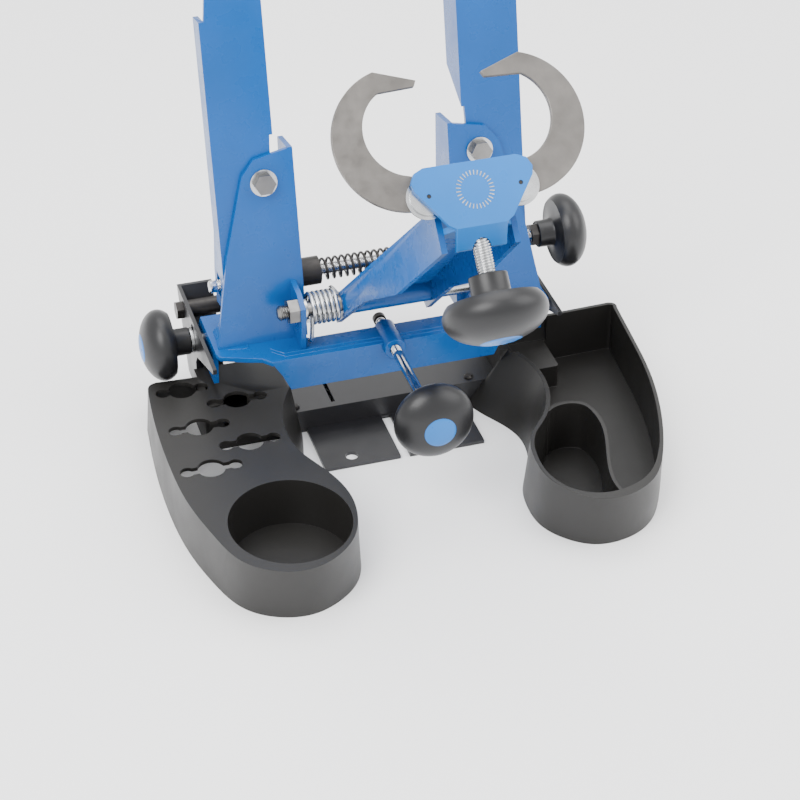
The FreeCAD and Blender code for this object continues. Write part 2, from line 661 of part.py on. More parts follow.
# ---- tilt lock ----------------------------------------------------------
def tilt_stud():
    stud = rod(LOCK_R, (-157, LOCK_Y, LOCK_Z), (-120, LOCK_Y, LOCK_Z))
    return stud


def tilt_stud_nut():
    nut = hexagon(13, 6, (-128.9, LOCK_Y, LOCK_Z), (1, 0, 0))
    return nut.cut(rod(LOCK_R + FIT, (-130, LOCK_Y, LOCK_Z), (-120, LOCK_Y, LOCK_Z)))


def tilt_washer():
    return tube(10, LOCK_R + FIT, (-141.5, LOCK_Y, LOCK_Z), (-139.3, LOCK_Y, LOCK_Z))


def tilt_knob():
    return revolve(knob(28, 28, 10.5, 13, LOCK_R, 15), (-142, LOCK_Y, LOCK_Z), (-1, 0, 0))


# ---- caliper ------------------------------------------------------------
def caliper_axle():
    end = STRAP_IN + STEEL + 16
    return rod(CAL_R, (-end, CAL_Y, CAL_Z), (end, CAL_Y, CAL_Z))


def axle_nuts():
    nuts = []
    for side in (-1, 1):
        x = side * (STRAP_IN + STEEL)
        nut = hexagon(17, 8, (x, CAL_Y, CAL_Z), (side, 0, 0))
        nuts.append(nut.cut(rod(CAL_R, (x - side, CAL_Y, CAL_Z), (x + side * 10, CAL_Y, CAL_Z))))
    return Part.makeCompound(nuts)


def axle_spacers():
    rings = []
    for x0, x1 in ((-STRAP_IN, -63.8), (CAL_WIDE + 0.3, STRAP_IN)):
        rings.append(tube(8, CAL_R, (x0, CAL_Y, CAL_Z), (x1, CAL_Y, CAL_Z)))
    return Part.makeCompound(rings)


def return_spring():
    turns = 6
    pitch = 3.6
    start = (-62.0, CAL_Y, CAL_Z)
    return coil(11.2, 3.2, pitch, turns, start, (1, 0, 0))


def caliper_arm():
    """Tapered channel, drawn along z from the axle; the open side faces down."""
    web = prism([(-CAL_WIDE, CAL_TOP - STEEL, -18), (CAL_WIDE, CAL_TOP - STEEL, -18),
                 (CAL_HALF, CAL_TOP - STEEL, CAL_WEB), (-CAL_HALF, CAL_TOP - STEEL, CAL_WEB)], (0, STEEL, 0))
    outline = [(CAL_TOP, -18), (CAL_TOP, CAL_END), (-22, CAL_END), (-24, 150), (-12, 66), (-11, -21), (-4, -26)]
    wall = prism([(-CAL_WIDE - 20, v, n) for v, n in outline], (60, 0, 0))
    pieces = [web]
    for side in (-1, 1):
        slab = prism([(side * CAL_WIDE, -30, -30), (side * (CAL_WIDE - STEEL), -30, -30),
                      (side * (CAL_HALF - STEEL), -30, CAL_END), (side * CAL_HALF, -30, CAL_END)], (0, 45, 0))
        shape = wall if side < 0 else mirror_x(wall)
        pieces.append(slab.common(shape))
    half = CAL_WIDE - 1
    pieces.append(tube(9, CAL_R + FIT, (-half, 0, 0), (half, 0, 0)))
    solid = fuse(pieces)
    solid = solid.cut(rod(CAL_R + FIT, (-half - 3, 0, 0), (half + 3, 0, 0)))
    return caliper_frame(solid)


def arm_tongue():
    """Rounded lug under the axle that the height screw pushes."""
    z = ROD_Z + 4
    y = TONGUE_Y
    disc = rod(14, (0, y, z), (0, y + STEEL, z))
    stem = box(-14, 14, y, y + STEEL, z, CAL_Z + 2)
    bridge = box(-14, 14, CAL_Y + 8, y + STEEL, CAL_Z - 2, CAL_Z + 2)
    solid = fuse([disc, stem, bridge])
    solid = solid.cut(rod(9, (-20, CAL_Y, CAL_Z), (20, CAL_Y, CAL_Z)))
    return solid.cut(caliper_frame(box(-30, 30, -60, CAL_TOP, -60, 60))).Solids[0]


def spring_pin():
    """Threaded pin on the lug; the torsion spring's long leg hooks round it."""
    return rod(2.4, (0, TONGUE_Y - 1.6, ROD_Z + 13), (0, TONGUE_Y - 8, ROD_Z + 23.5))


def caliper_head():
    half = [(17, -9.8), (22, -6.5), (40, 18.5), (41, 24), (38, 30), (31.5, 32.8)]
    outline = half + [(-x, v) for x, v in reversed(half)]
    plate = prism([(x, v, CAL_REACH) for x, v in outline], (0, 0, STEEL))
    slope = [(-9.8, CAL_REACH + STEEL), (-22, CAL_END + 1), (-22, CAL_END - 3), (-9.8, CAL_REACH - 1.5)]
    lip = prism([(-17, v, n) for v, n in slope], (34, 0, 0))
    inside = CAL_HALF - STEEL
    shoe = prism([(-17, -9.8, CAL_REACH + 1), (17, -9.8, CAL_REACH + 1), (inside, -9.8, CAL_END),
                  (inside, -9.8, CAL_END - 15), (-inside, -9.8, CAL_END - 15), (-inside, -9.8, CAL_END)],
                 (0, STEEL, 0))
    solid = fuse([plate, lip, shoe])
    solid = solid.cut(rod(6.35 + FIT, (0, -30, SCREW_N), (0, 2, SCREW_N)))
    for x in (-JAW_X, JAW_X):
        solid = solid.cut(rod(1.5, (x, JAW_V, CAL_REACH - 1), (x, JAW_V, CAL_REACH + STEEL + 1)))
    return caliper_frame(solid)


def jaw_washers():
    """Wide plated washers between the head and the jaws."""
    rings = []
    for x in (-JAW_X, JAW_X):
        rings.append(caliper_frame(tube(14, 3, (x, JAW_V, CAL_REACH - 2.8), (x, JAW_V, CAL_REACH - 1.6))))
    return Part.makeCompound(rings)


def jaw_spacers():
    rings = []
    for x in (-JAW_X, JAW_X):
        rings.append(caliper_frame(tube(11.5, 3, (x, JAW_V, CAL_REACH - 1.6), (x, JAW_V, CAL_REACH))))
    return Part.makeCompound(rings)


def jaw_rivets():
    rivets = []
    for x in (-JAW_X, JAW_X):
        shank = rod(3, (x, JAW_V, JAW_BACK - 3), (x, JAW_V, CAL_REACH))
        head = rod(1.5, (x, JAW_V, CAL_REACH), (x, JAW_V, CAL_REACH + STEEL - 0.4))
        tail = rod(5.5, (x, JAW_V, JAW_BACK - 3), (x, JAW_V, JAW_BACK - 0.8))
        rivets.append(caliper_frame(fuse([shank, head, tail])))
    return Part.makeCompound(rivets)


def jaw_outline():
    """Right jaw in the head's plane: a crescent round (37, 55) from the pivot to the tip."""
    cx = 37.0
    cy = 55.0
    outer = 48.0
    inner = 24.0
    def at(radius, degrees):
        a = math.radians(degrees)
        return V(cx + radius * math.cos(a), cy + radius * math.sin(a), 0)
    edges = [
        Part.Arc(at(outer, -100), at(outer, -10), at(outer, 75)).toShape(),
        Part.makeLine(at(outer, 75), V(22, 92, 0)),
        Part.makeLine(V(22, 92, 0), V(24, 88, 0)),
        Part.makeLine(V(24, 88, 0), at(inner + 10, 70)),
        Part.Arc(at(inner + 10, 70), at(inner + 2, 0), at(inner, -75)).toShape(),
        Part.makeLine(at(inner, -75), V(24, 26, 0)),
        Part.makeLine(V(24, 26, 0), V(16, 14, 0)),
        Part.makeLine(V(16, 14, 0), at(outer, -100)),
    ]
    return Part.Face(Part.Wire(edges))


def right_jaw():
    plate = jaw_outline().extrude(V(0, 0, JAW_T))
    plate.translate(V(0, 0, JAW_BACK))
    hole = rod(3 + FIT, (JAW_X, JAW_V, JAW_BACK - 1), (JAW_X, JAW_V, JAW_BACK + JAW_T + 1))
    return caliper_frame(plate.cut(hole))


def jaw_yoke():
    """Thrust block on the screw's end that spreads the jaws' tails."""
    return caliper_frame(box(-9, 9, YOKE_V, YOKE_V + 6, SCREW_N - 5, JAW_BACK - 0.3))


def caliper_rod():
    return caliper_frame(rod(6.35, (0, -60, SCREW_N), (0, YOKE_V - 0.2, SCREW_N)))


def caliper_knob():
    return caliper_frame(revolve(knob(35, 34, 13, 14, 6.35, 20), (0, -40, SCREW_N), (0, -1, 0)))


# ---- height screw -------------------------------------------------------
def height_rod():
    return rod(ROD_R, (0, -72, ROD_Z), (0, TONGUE_Y - 8, ROD_Z))


def height_tip():
    """Domed cap that bears on the caliper arm's tongue."""
    profile = [(0, 0), (ROD_R + 1, 0), (ROD_R + 1, 4.5), (3.6, 6.4), (1.5, 7.2), (0, 7.2)]
    return revolve(profile, (0, TONGUE_Y - 7.8, ROD_Z), (0, 1, 0))


def height_knob():
    return revolve(knob(30, 30, 11, 12, ROD_R, 14), (0, -58, ROD_Z), (0, -1, 0))


# ---- write every sub-part -----------------------------------------------
os.makedirs("parts", exist_ok=True)
save("base_plate", base_plate())
plate = side_plate()
save("left_side_plate", plate.cut(lock_slot()))
save("right_side_plate", mirror_x(plate))
save("plate_screws", plate_screws())
save("left_tray", left_tray())
save("right_tray", right_tray())
save("deck_screws", deck_screws())
save("tray_screws", tray_screws())
save("tilt_pivots", tilt_pivots())
save("tilt_pivot_nuts", tilt_pivot_nuts())
save("stand_base", stand_base())
save("height_bush", height_bush())
bracket = left_bracket()
save("left_bracket", bracket)
save("right_bracket", mirror_x(bracket))
save("arm_bolts", arm_bolts())
save("arm_washers", arm_washers())
save("arm_nuts", arm_nuts())
arm = slotted(left_arm())
save("left_arm", arm)
save("right_arm", mirror_x(arm))
save("left_dropout", left_dropout())
save("right_dropout", mirror_x(left_dropout()))
save("left_dropout_screws", left_dropout_screws())
save("right_dropout_screws", mirror_x(left_dropout_screws()))
save("left_trunnion", left_trunnion())
save("right_trunnion", mirror_x(left_trunnion()))
save("width_rod", width_rod())
save("width_collar", width_collar())
save("collar_screw", collar_screw())
save("width_spring", width_spring())
save("width_nut", width_nut())
save("width_knob", width_knob())
save("tilt_stud", tilt_stud())
save("tilt_stud_nut", tilt_stud_nut())
save("tilt_washer", tilt_washer())
save("tilt_knob", tilt_knob())
save("caliper_axle", caliper_axle())
save("axle_nuts", axle_nuts())
save("axle_spacers", axle_spacers())
save("return_spring", return_spring())
save("caliper_arm", caliper_arm())
save("arm_tongue", arm_tongue())
save("spring_pin", spring_pin())
save("caliper_head", caliper_head())
save("jaw_washers", jaw_washers())
save("jaw_spacers", jaw_spacers())
save("jaw_rivets", jaw_rivets())
save("right_jaw", right_jaw())
save("left_jaw", mirror_x(right_jaw()))
save("jaw_yoke", jaw_yoke())
save("caliper_rod", caliper_rod())
save("caliper_knob", caliper_knob())
save("height_rod", height_rod())
save("height_tip", height_tip())
save("height_knob", height_knob())
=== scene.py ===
"""Looks of the wheel truing stand: painted steel, moulded trays and knobs, plated screws and springs."""

import json
import math

import bmesh
import bpy
from mathutils import Matrix, Vector


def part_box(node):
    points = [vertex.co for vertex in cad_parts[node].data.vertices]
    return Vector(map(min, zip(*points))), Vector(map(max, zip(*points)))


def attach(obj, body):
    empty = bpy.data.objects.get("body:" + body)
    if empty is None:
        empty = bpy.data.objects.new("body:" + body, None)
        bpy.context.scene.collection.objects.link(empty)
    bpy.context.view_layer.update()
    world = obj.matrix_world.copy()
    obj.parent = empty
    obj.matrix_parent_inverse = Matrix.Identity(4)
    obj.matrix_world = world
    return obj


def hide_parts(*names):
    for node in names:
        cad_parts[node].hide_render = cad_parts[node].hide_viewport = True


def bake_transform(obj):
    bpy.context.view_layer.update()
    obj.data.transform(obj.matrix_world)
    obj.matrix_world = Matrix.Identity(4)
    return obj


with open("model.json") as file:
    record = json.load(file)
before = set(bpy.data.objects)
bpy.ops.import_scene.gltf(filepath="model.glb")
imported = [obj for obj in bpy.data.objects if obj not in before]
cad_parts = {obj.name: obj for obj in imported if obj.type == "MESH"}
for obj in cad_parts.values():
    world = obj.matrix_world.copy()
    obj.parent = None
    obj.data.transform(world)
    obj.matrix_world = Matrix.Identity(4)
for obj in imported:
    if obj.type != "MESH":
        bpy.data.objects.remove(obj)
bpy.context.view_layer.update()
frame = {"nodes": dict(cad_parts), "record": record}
RECORD = frame["record"]
NODES = frame["nodes"]
MM = 0.001
BODY_OF = {node: body for body, nodes in RECORD["behaviour"]["bodies"].items() for node in nodes}


# ---- camera: the photograph's direction, from the front left and above ----
CAMERA_AT = Vector((-0.42487, -1.38591, 1.08217))
AZIMUTH = math.radians(17.0)
ELEVATION = math.radians(35.53)
LENS = 105.1


def camera():
    right = Vector((math.cos(AZIMUTH), -math.sin(AZIMUTH), 0))
    up = Vector((math.sin(AZIMUTH) * math.sin(ELEVATION), math.cos(AZIMUTH) * math.sin(ELEVATION),
                 math.cos(ELEVATION)))
    back = right.cross(up)
    data = bpy.data.cameras.new("camera")
    data.sensor_width = 36
    data.lens = LENS
    data.clip_start = 0.01
    obj = bpy.data.objects.new("camera", data)
    bpy.context.collection.objects.link(obj)
    matrix = Matrix((right, up, back)).transposed().to_4x4()
    matrix.translation = CAMERA_AT
    obj.matrix_world = matrix
    bpy.context.scene.camera = obj


# ---- materials ----------------------------------------------------------
class Shader:
    """A Principled material with helpers for its procedural inputs."""

    def __init__(self, name, colour, rough, metal=0.0, coat=0.0, coat_rough=0.1, spec=0.5):
        self.material = bpy.data.materials.new(name)
        self.material.use_nodes = True
        self.tree = self.material.node_tree
        self.base = self.tree.nodes["Principled BSDF"]
        self.base.inputs["Metallic"].default_value = metal
        self.base.inputs["Coat Weight"].default_value = coat
        self.base.inputs["Coat Roughness"].default_value = coat_rough
        self.base.inputs["Specular IOR Level"].default_value = spec
        self.colour = colour
        self.rough = rough
        self.coords = self.tree.nodes.new("ShaderNodeTexCoord").outputs["Object"]
        self.bumps = None

    def noise(self, scale, detail=3.0, stretch=None, kind="ShaderNodeTexNoise"):
        node = self.tree.nodes.new(kind)
        node.inputs["Scale"].default_value = scale
        if kind == "ShaderNodeTexNoise":
            node.inputs["Detail"].default_value = detail
        source = self.coords
        if stretch:
            mapping = self.tree.nodes.new("ShaderNodeMapping")
            mapping.inputs["Scale"].default_value = stretch
            self.tree.links.new(source, mapping.inputs["Vector"])
            source = mapping.outputs["Vector"]
        self.tree.links.new(source, node.inputs["Vector"])
        if kind == "ShaderNodeTexNoise":
            return node.outputs["Fac"]
        return node.outputs["Distance"]

    def ramp(self, value, low, high, out_low, out_high):
        node = self.tree.nodes.new("ShaderNodeMapRange")
        node.inputs["From Min"].default_value = low
        node.inputs["From Max"].default_value = high
        node.inputs["To Min"].default_value = out_low
        node.inputs["To Max"].default_value = out_high
        self.tree.links.new(value, node.inputs["Value"])
        return node.outputs["Result"]

    def tint(self, value, colour_a, colour_b):
        node = self.tree.nodes.new("ShaderNodeMix")
        node.data_type = "RGBA"
        node.inputs["A"].default_value = (*colour_a, 1)
        node.inputs["B"].default_value = (*colour_b, 1)
        self.tree.links.new(value, node.inputs["Factor"])
        return node.outputs["Result"]

    def bump(self, height, strength, distance):
        node = self.tree.nodes.new("ShaderNodeBump")
        node.inputs["Strength"].default_value = strength
        node.inputs["Distance"].default_value = distance
        self.tree.links.new(height, node.inputs["Height"])
        if self.bumps is not None:
            self.tree.links.new(self.bumps, node.inputs["Normal"])
        self.bumps = node.outputs["Normal"]

    def set(self, socket, value):
        self.tree.links.new(value, self.base.inputs[socket])

    def done(self):
        if self.bumps is not None:
            self.set("Normal", self.bumps)
        self.base.inputs["Base Color"].default_value = (*self.colour, 1)
        if not self.base.inputs["Roughness"].is_linked:
            self.base.inputs["Roughness"].default_value = self.rough
        return self.material


def mixed(colour, factor):
    return tuple(min(1.0, c * factor) for c in colour)


def powder_coat(name, colour, rough, peel=0.18):
    """Glossy powder coat: faint orange peel, slow colour drift, dust in the broad areas."""
    s = Shader(name, colour, rough, coat=0.12, coat_rough=0.12, spec=0.3)
    drift = s.noise(9.0, 4.0)
    s.set("Base Color", s.tint(s.ramp(drift, 0.35, 0.7, 0, 1), mixed(colour, 0.88), mixed(colour, 1.12)))
    s.set("Roughness", s.ramp(s.noise(60.0, 5.0), 0.3, 0.75, rough * 0.8, rough * 1.35))
    s.bump(s.noise(520.0, 1.5), peel, 0.00012)
    s.bump(s.noise(1900.0, 1.0), 0.05, 0.0001)
    return s.done()


def black_coat(name, colour, rough):
    s = Shader(name, colour, rough, coat=0.15, coat_rough=0.3)
    s.set("Base Color", s.tint(s.noise(14.0, 5.0), mixed(colour, 0.75), mixed(colour, 1.35)))
    s.set("Roughness", s.ramp(s.noise(45.0, 6.0), 0.3, 0.75, rough * 0.8, rough * 1.2))
    s.bump(s.noise(1400.0, 2.0), 0.22, 0.0002)
    return s.done()


def moulded(name, colour, rough, grain=1500.0, depth=0.2, spec=0.4):
    """Fine leather-grained moulding with slow gloss variation."""
    s = Shader(name, colour, rough, spec=spec)
    s.set("Base Color", s.tint(s.noise(11.0, 4.0), mixed(colour, 0.85), mixed(colour, 1.18)))
    s.set("Roughness", s.ramp(s.noise(30.0, 5.0), 0.3, 0.75, rough * 0.88, rough * 1.12))
    s.bump(s.noise(grain, 2.0, kind="ShaderNodeTexVoronoi"), depth, 0.00012)
    s.bump(s.noise(grain * 2.3, 2.0), depth * 0.7, 0.00008)
    return s.done()


def plated(name, colour, rough, grain=(40.0, 400.0, 400.0), depth=0.06, metal=1.0):
    """Plated or oiled steel: drawn grain, smudges and small pits."""
    s = Shader(name, colour, rough, metal=metal)
    smudge = s.noise(55.0, 6.0)
    s.set("Base Color", s.tint(s.ramp(smudge, 0.35, 0.7, 0, 1), mixed(colour, 0.8), mixed(colour, 1.1)))
    s.set("Roughness", s.ramp(s.noise(140.0, 6.0), 0.3, 0.75, rough * 0.7, rough * 1.4))
    s.bump(s.noise(3.0, 3.0, stretch=grain), depth, 0.0001)
    s.bump(s.noise(900.0, 2.0), depth * 0.8, 0.00005)
    return s.done()


MATERIALS = {
    "base_black": black_coat("base_black", (0.012, 0.012, 0.014), 0.36),
    "tray_plastic": moulded("tray_plastic", (0.0125, 0.0118, 0.011), 0.42),
    "blue_paint": powder_coat("blue_paint", (0.0, 0.078, 0.30), 0.27),
    "head_paint": powder_coat("head_paint", (0.008, 0.145, 0.46), 0.32),
    "zinc": plated("zinc", (0.62, 0.63, 0.64), 0.24),
    "nickel": plated("nickel", (0.68, 0.68, 0.69), 0.14),
    "dark_steel": plated("dark_steel", (0.035, 0.032, 0.03), 0.42, metal=0.6),
    "bolt_steel": plated("bolt_steel", (0.24, 0.235, 0.23), 0.36),
    "jaw_steel": plated("jaw_steel", (0.16, 0.15, 0.14), 0.44, metal=0.7),
    "knob_plastic": moulded("knob_plastic", (0.010, 0.010, 0.011), 0.38, grain=1200.0),
}
SLOT_OF = {row["node"]: row["material_slot"] for row in RECORD["subparts"]}


def dress(obj, slot):
    obj.data.materials.clear()
    obj.data.materials.append(MATERIALS[slot])


# ---- bevelled copies of the CAD pieces ----------------------------------
def smooth_by_angle(obj, degrees=32):
    bpy.context.view_layer.objects.active = obj
    obj.select_set(True)
    bpy.ops.object.shade_smooth_by_angle(angle=math.radians(degrees))
    obj.select_set(False)


def softened(node, width=0.5, segments=2, angle=30):
    """The CAD piece with its edges broken, standing in the CAD piece's place."""
    source = NODES[node]
    mesh = source.data.copy()
    piece = bpy.data.objects.new(node + "_finish", mesh)
    bpy.context.collection.objects.link(piece)
    work = bmesh.new()
    work.from_mesh(mesh)
    bmesh.ops.remove_doubles(work, verts=work.verts, dist=2e-6)
    bmesh.ops.dissolve_limit(work, angle_limit=math.radians(0.8), verts=work.verts, edges=work.edges,
                             delimit=set())
    work.to_mesh(mesh)
    work.free()
    bevel = piece.modifiers.new("broken_edge", "BEVEL")
    bevel.width = width * MM
    bevel.segments = segments
    bevel.limit_method = "ANGLE"
    bevel.angle_limit = math.radians(angle)
    bevel.use_clamp_overlap = True
    bevel.harden_normals = False
    dress(piece, SLOT_OF[node])
    smooth_by_angle(piece)
    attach(piece, BODY_OF[node])
    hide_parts(node)
    return piece


SOFTENED = {
    "base_plate": 0.8, "left_side_plate": 0.8, "right_side_plate": 0.8, "stand_base": 0.9,
    "left_bracket": 0.9, "right_bracket": 0.9, "left_arm": 0.9, "right_arm": 0.9,
    "caliper_arm": 0.9, "caliper_head": 0.9, "arm_tongue": 0.9, "left_dropout": 0.5,
    "right_dropout": 0.5, "left_jaw": 0.6, "right_jaw": 0.6, "height_bush": 0.6,
    "left_tray": 0.9, "right_tray": 0.9,
}


# ---- drawn pieces: threads, knobs, spring legs, beads --------------------
THREAD_DEPTH = 0.54         # thread depth as a share of the pitch
STEPS_PER_TURN = 6
THREAD_SIDES = 28
THREAD_SMOOTH = 40          # degrees
WIRE_SMOOTH = 60
LATHE_SMOOTH = 34
SPRING_WIRE = 1.6           # radius, in millimetres
RIM_SHARE = 0.34            # height of a knob's widest ring, as a share of its thickness
DOME_SHARE = 0.585          # height of the dome above that ring
DISC_SHARE = 0.40           # radius of the inlaid disc, as a share of the knob's
MARK_COUNT = 30
MARK_SIDES = ((0, 1, 3, 2), (4, 6, 7, 5), (0, 4, 5, 1), (2, 3, 7, 6), (0, 2, 6, 4), (1, 5, 7, 3))
BEAD_FRONT = 4.5            # bead lines behind the bar's front edge, in millimetres
BEAD_BACK = 9.0
JOINT = {row["name"]: row for row in RECORD["behaviour"]["joints"]}


def basis(axis):
    w = Vector(axis).normalized()
    helper = Vector((0, 0, 1)) if abs(w.z) < 0.9 else Vector((0, 1, 0))
    u = helper.cross(w).normalized()
    return u, w.cross(u), w


def mesh_piece(name, verts, faces, slot, angle=32):
    mesh = bpy.data.meshes.new(name)
    mesh.from_pydata([tuple(v) for v in verts], [], faces)
    work = bmesh.new()
    work.from_mesh(mesh)
    bmesh.ops.remove_doubles(work, verts=work.verts, dist=1e-6)
    bmesh.ops.recalc_face_normals(work, faces=work.faces)
    work.to_mesh(mesh)
    work.free()
    obj = bpy.data.objects.new(name, mesh)
    bpy.context.collection.objects.link(obj)
    dress(obj, slot)
    smooth_by_angle(obj, angle)
    return obj


def tube_faces(rows, count):
    """Faces of rows of count vertices joined side to side, with a cap at each end."""
    faces = []
    for i in range(rows - 1):
        for k in range(count):
            n = (k + 1) % count
            faces.append((i * count + k, i * count + n, (i + 1) * count + n, (i + 1) * count + k))
    faces.append(tuple(range(count)))
    faces.append(tuple((rows - 1) * count + k for k in range(count)))
    return faces


def centre_of(node):
    (x0, y0, z0), (x1, y1, z1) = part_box(node)
    return Vector(((x0 + x1) / 2, (y0 + y1) / 2, (z0 + z1) / 2))


def box_mm(node):
    return [[c / MM for c in corner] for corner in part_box(node)]


def reach_along(node, direction):
    """How far the node's vertices lie along a direction: lowest and highest."""
    heights = [vert.co.dot(direction) for vert in NODES[node].data.vertices]
    return min(heights), max(heights)


def rings(stations, count, axes, origin, radius_at):
    """Vertices and faces of a closed tube whose radius is a function of station and angle."""
    u, v, w = axes
    verts = []
    for t in stations:
        for k in range(count):
            a = 2 * math.pi * k / count
            r = radius_at(t, k / count)
            verts.append(origin + w * t + u * (r * math.cos(a)) + v * (r * math.sin(a)))
    return verts, tube_faces(len(stations), count)


def threaded(node, axis, radius, pitch, spans, chamfer):
    """A rod with helical threads over the given shares of its length, in place of the CAD rod."""
    u, v, w = basis(axis)
    low, high = reach_along(node, w)
    middle = centre_of(node)
    origin = middle - w * middle.dot(w)
    length = high - low
    depth = THREAD_DEPTH * pitch
    spans = [(low + a * length, low + b * length) for a, b in spans]
    stations = {low, low + chamfer * MM, high - chamfer * MM, high}
    for a, b in spans:
        steps = max(2, int((b - a) / (pitch * MM) * STEPS_PER_TURN))
        stations.update(a + (b - a) * k / steps for k in range(steps + 1))

    def radius_at(t, turn):
        r = radius * MM
        for a, b in spans:
            if a <= t <= b:
                fade = min(1.0, (t - a) / (pitch * MM), (b - t) / (pitch * MM))
                phase = (t / (pitch * MM) - turn) % 1.0
                r -= depth * MM * fade * min(1.0, 1.4 * abs(2 * phase - 1))
        end = min(t - low, high - t)
        return min(r, (radius - chamfer) * MM + end) if end < chamfer * MM else r

    verts, faces = rings(sorted(stations), THREAD_SIDES, (u, v, w), origin, radius_at)
    piece = mesh_piece(node + "_threads", verts, faces, SLOT_OF[node], THREAD_SMOOTH)
    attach(piece, BODY_OF[node])
    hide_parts(node)
    return piece


def wire(name, points, radius, slot, per_leg=8, count=12):
    """Round wire through the points, along a smooth line."""
    line = []
    points = [Vector(p) * MM for p in points]
    knots = [points[0] * 2 - points[1]] + points + [points[-1] * 2 - points[-2]]
    for i in range(1, len(knots) - 2):
        a, b, c, d = knots[i - 1:i + 3]
        for k in range(per_leg):
            t = k / per_leg
            line.append(0.5 * (2 * b + (c - a) * t + (2 * a - 5 * b + 4 * c - d) * t ** 2
                               + (3 * b - a - 3 * c + d) * t ** 3))
    line.append(points[-1])
    verts = []
    side = None
    for i, p in enumerate(line):
        ahead = (line[min(i + 1, len(line) - 1)] - line[max(i - 1, 0)]).normalized()
        side = basis(ahead)[0] if side is None else (side - ahead * side.dot(ahead)).normalized()
        other = ahead.cross(side)
        for k in range(count):
            a = 2 * math.pi * k / count
            verts.append(p + (side * math.cos(a) + other * math.sin(a)) * radius * MM)
    return mesh_piece(name, verts, tube_faces(len(line), count), slot, WIRE_SMOOTH)


def lathe(name, profile, origin, axis, slot, count=72):
    """Solid of revolution from (radius, distance) pairs in millimetres."""
    verts = []
    u, v, w = basis(axis)
    for r, t in profile:
        for k in range(count):
            a = 2 * math.pi * k / count
            verts.append(origin + w * (t * MM) + (u * math.cos(a) + v * math.sin(a)) * (max(r, 0.01) * MM))
    return mesh_piece(name, verts, tube_faces(len(profile), count), slot, LATHE_SMOOTH)


def knob_piece(node, radius, thick, hub_r, hub_len, axis):
    """Mushroom knob with a full dome, a soft rim and a plain inlaid disc."""
    w = Vector(axis).normalized()
    low = reach_along(node, w)[0]
    joint = [row for row in JOINT.values() if row["child"] == BODY_OF[node]][0]
    on_axis = Vector(joint["pos_m"])
    origin = on_axis + w * (low - on_axis.dot(w))
    profile = [(0, 0.6), (hub_r - 1.2, 0.6), (hub_r - 0.9, 0), (hub_r - 0.4, 0.1), (hub_r, 0.6),
               (hub_r + 0.2, hub_len - 2.4), (hub_r + 0.9, hub_len - 0.8), (hub_r + 2.4, hub_len),
               (radius * 0.62, hub_len + 0.4), (radius * 0.84, hub_len + 1.5)]
    for k in range(25):
        a = math.radians(-30 + 120 * k / 24)
        profile.append((radius * math.cos(a), hub_len + thick * (RIM_SHARE + DOME_SHARE * math.sin(a))))
    piece = lathe(node + "_moulding", profile, origin, w, SLOT_OF[node])
    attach(piece, BODY_OF[node])
    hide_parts(node)
    rim = radius * DISC_SHARE
    top = profile[-1][1]
    drop = thick * DOME_SHARE * (1 - math.sqrt(1 - DISC_SHARE ** 2))
    plate = [(0, top - 1.5), (rim, top - 1.5 - drop), (rim + 0.1, top - drop - 0.1),
             (rim - 0.4, top - drop + 0.25)]
    for k in range(1, 8):
        r = (rim - 0.4) * (1 - k / 7)
        plate.append((r, top + 0.25 - thick * DOME_SHARE * (1 - math.sqrt(1 - (r / radius) ** 2))))
    disc = lathe(node + "_disc", plate, origin, w, "head_paint")
    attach(disc, BODY_OF[node])


def head_marks():
    """A plain ring of short raised strokes on the caliper head."""
    left = JOINT["left_jaw_swing"]
    n = Vector(left["axis"]).normalized()
    up = Vector((1, 0, 0)).cross(n) * -1
    face = reach_along("caliper_head", n)[1]
    middle = (Vector(left["pos_m"]) + Vector(JOINT["right_jaw_swing"]["pos_m"])) / 2
    middle += n * (face - middle.dot(n))
    verts = []
    faces = []
    for k in range(MARK_COUNT):
        a = 2 * math.pi * k / MARK_COUNT
        out = Vector((1, 0, 0)) * math.cos(a) + up * math.sin(a)
        turn = n.cross(out)
        base = len(verts)
        for height in (-0.3, 0.18):
            for r, half in ((9.6, 0.28), (12.8, 0.4)):
                for side in (-1, 1):
                    verts.append(middle + out * (r * MM) + turn * (side * half * MM) + n * (height * MM))
        for quad in MARK_SIDES:
            faces.append(tuple(base + i for i in quad))
    ring = mesh_piece("head_marks", verts, faces, "zinc")
    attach(ring, "caliper")


def spring_legs():
    """The torsion spring's straight left leg, and the long right leg that hooks round the lug's pin."""
    (x0, y0, z0), (x1, y1, z1) = box_mm("return_spring")
    wire_r = SPRING_WIRE
    front = y0 + wire_r
    middle_y = (y0 + y1) / 2
    top = z1 - wire_r
    left = x0 + wire_r
    right = x1 - wire_r
    short = [(left, front, z1 - 13), (left, front + 0.6, z0 + 2), (left, front + 3, z0 - 9),
             (left, front + 8, z0 - 14)]
    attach(wire("spring_short_leg", short, wire_r, "zinc"), "stand")
    (px0, py0, pz0), (px1, py1, pz1) = box_mm("spring_pin")
    pin_y = py0 + (py1 - py0) * 0.72
    pin_z = pz0 + (pz1 - pz0) * 0.28
    tall = [(right, middle_y, top), (right - 0.2, middle_y + 13, top - 4), (-38, middle_y + 24, top - 15),
            (-28, pin_y + 4.5, pin_z + 8), (-15, pin_y + 1, pin_z + 2), (-7, pin_y - 2.6, pin_z),
            (0, pin_y - 4.2, pin_z - 0.4), (4.4, pin_y - 2.4, pin_z - 0.6), (5.2, pin_y + 1.2, pin_z - 0.6)]
    leg = wire("spring_long_leg", tall, wire_r, "zinc")
    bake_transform(leg)


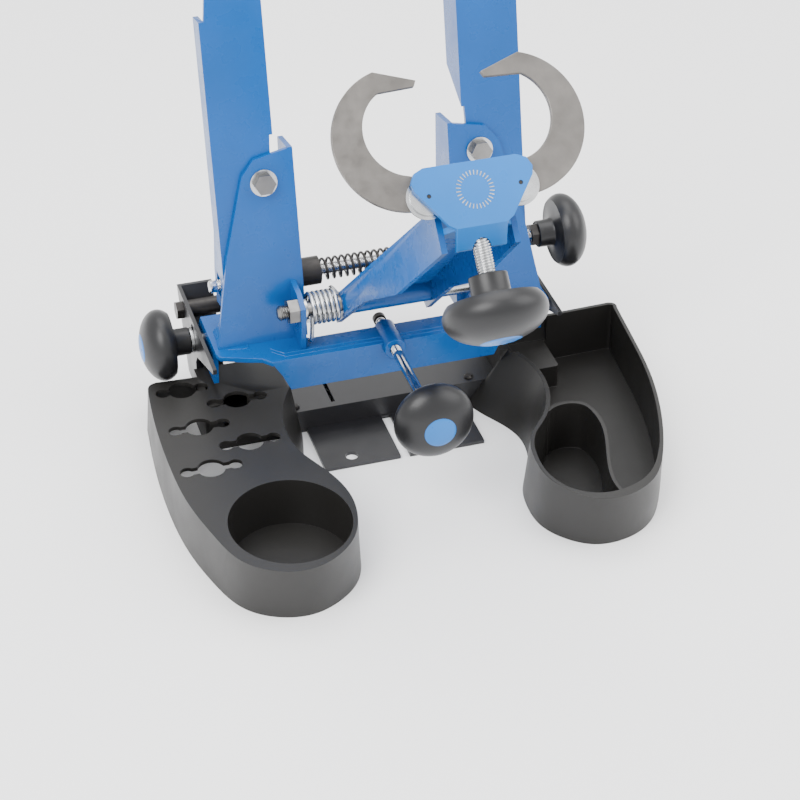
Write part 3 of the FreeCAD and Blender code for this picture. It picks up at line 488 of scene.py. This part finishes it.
def bar_beads():
    """Two raised bead lines along the top of the bar, and a small pressed rectangle at its left foot."""
    (x0, y0, z0), (x1, y1, z1) = box_mm("stand_base")
    top = z1 - 0.25
    middle = (x0 + x1) / 2
    bend = ((-92, 9), (-84, 1.2), (-76, 0), (0, 0), (76, 0), (84, 1.2), (92, 9))
    for k, back in enumerate((BEAD_FRONT, BEAD_BACK)):
        points = [(middle + dx, y0 + back + dy, top) for dx, dy in bend]
        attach(wire("bar_bead_%d" % k, points, 0.75, "blue_paint"), "stand")
    corners = ((10, 26), (24, 24), (24.6, 29), (10.6, 31), (10, 26))
    mark = [(x0 + dx, y0 + dy, top) for dx, dy in corners]
    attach(wire("bar_mark", mark, 0.6, "blue_paint", 4), "stand")


WORLD_STRENGTH = 1.6
FLOOR_HALF = 4
AIM = Vector((0, 0, 0.15))
LAMPS = (("key", (-1.3, -0.9, 1.9), 1.4, 60), ("fill", (1.6, -0.7, 1.5), 1.6, 30),
         ("top", (0.1, 0.5, 2.2), 1.8, 40))


def studio():
    world = bpy.data.worlds.new("studio")
    world.use_nodes = True
    world.node_tree.nodes["Background"].inputs["Color"].default_value = (1, 1, 1, 1)
    world.node_tree.nodes["Background"].inputs["Strength"].default_value = WORLD_STRENGTH
    bpy.context.scene.world = world
    mesh = bpy.data.meshes.new("floor")
    corners = [(-FLOOR_HALF, -FLOOR_HALF, 0), (FLOOR_HALF, -FLOOR_HALF, 0),
               (FLOOR_HALF, FLOOR_HALF, 0), (-FLOOR_HALF, FLOOR_HALF, 0)]
    mesh.from_pydata(corners, [], [(0, 1, 2, 3)])
    floor = bpy.data.objects.new("floor", mesh)
    bpy.context.collection.objects.link(floor)
    sheet = Shader("floor_white", (0.93, 0.93, 0.935), 0.8)
    floor.data.materials.append(sheet.done())
    for name, at, size, power in LAMPS:
        data = bpy.data.lights.new(name, "AREA")
        data.size = size
        data.energy = power
        lamp = bpy.data.objects.new(name, data)
        bpy.context.collection.objects.link(lamp)
        lamp.location = at
        direction = AIM - Vector(at)
        lamp.rotation_euler = direction.to_track_quat("-Z", "Y").to_euler()


RIGHTWARD = (1, 0, 0)
CALIPER_SCREW = JOINT["caliper_screw_turn"]["axis"]
# node: axis, radius, pitch, threaded shares of the length, end chamfer
THREADS = {
    "width_rod": (RIGHTWARD, 4.76, 1.6, [(0.02, 0.09), (0.3, 0.97)], 0.8),
    "caliper_rod": (CALIPER_SCREW, 6.35, 1.8, [(0.1, 0.98)], 0.8),
    "height_rod": ((0, 1, 0), 4.0, 1.4, [(0.62, 0.98)], 0.8),
    "caliper_axle": (RIGHTWARD, 6.0, 1.75, [(0.01, 0.11), (0.89, 0.99)], 2.2),
}
# node: radius, thickness, hub radius, hub length, axis outwards through the crown
KNOBS = {
    "width_knob": (29, 28, 10.5, 13, RIGHTWARD),
    "tilt_knob": (28, 28, 10.5, 13, (-1, 0, 0)),
    "caliper_knob": (35, 34, 13, 14, [-c for c in CALIPER_SCREW]),
    "height_knob": (30, 30, 11, 12, (0, -1, 0)),
}

camera()
studio()
for node, obj in NODES.items():
    dress(obj, SLOT_OF[node])
for node, width in SOFTENED.items():
    softened(node, width)
for node, sizes in THREADS.items():
    threaded(node, *sizes)
for node, sizes in KNOBS.items():
    knob_piece(node, *sizes)
head_marks()
bar_beads()
spring_legs()
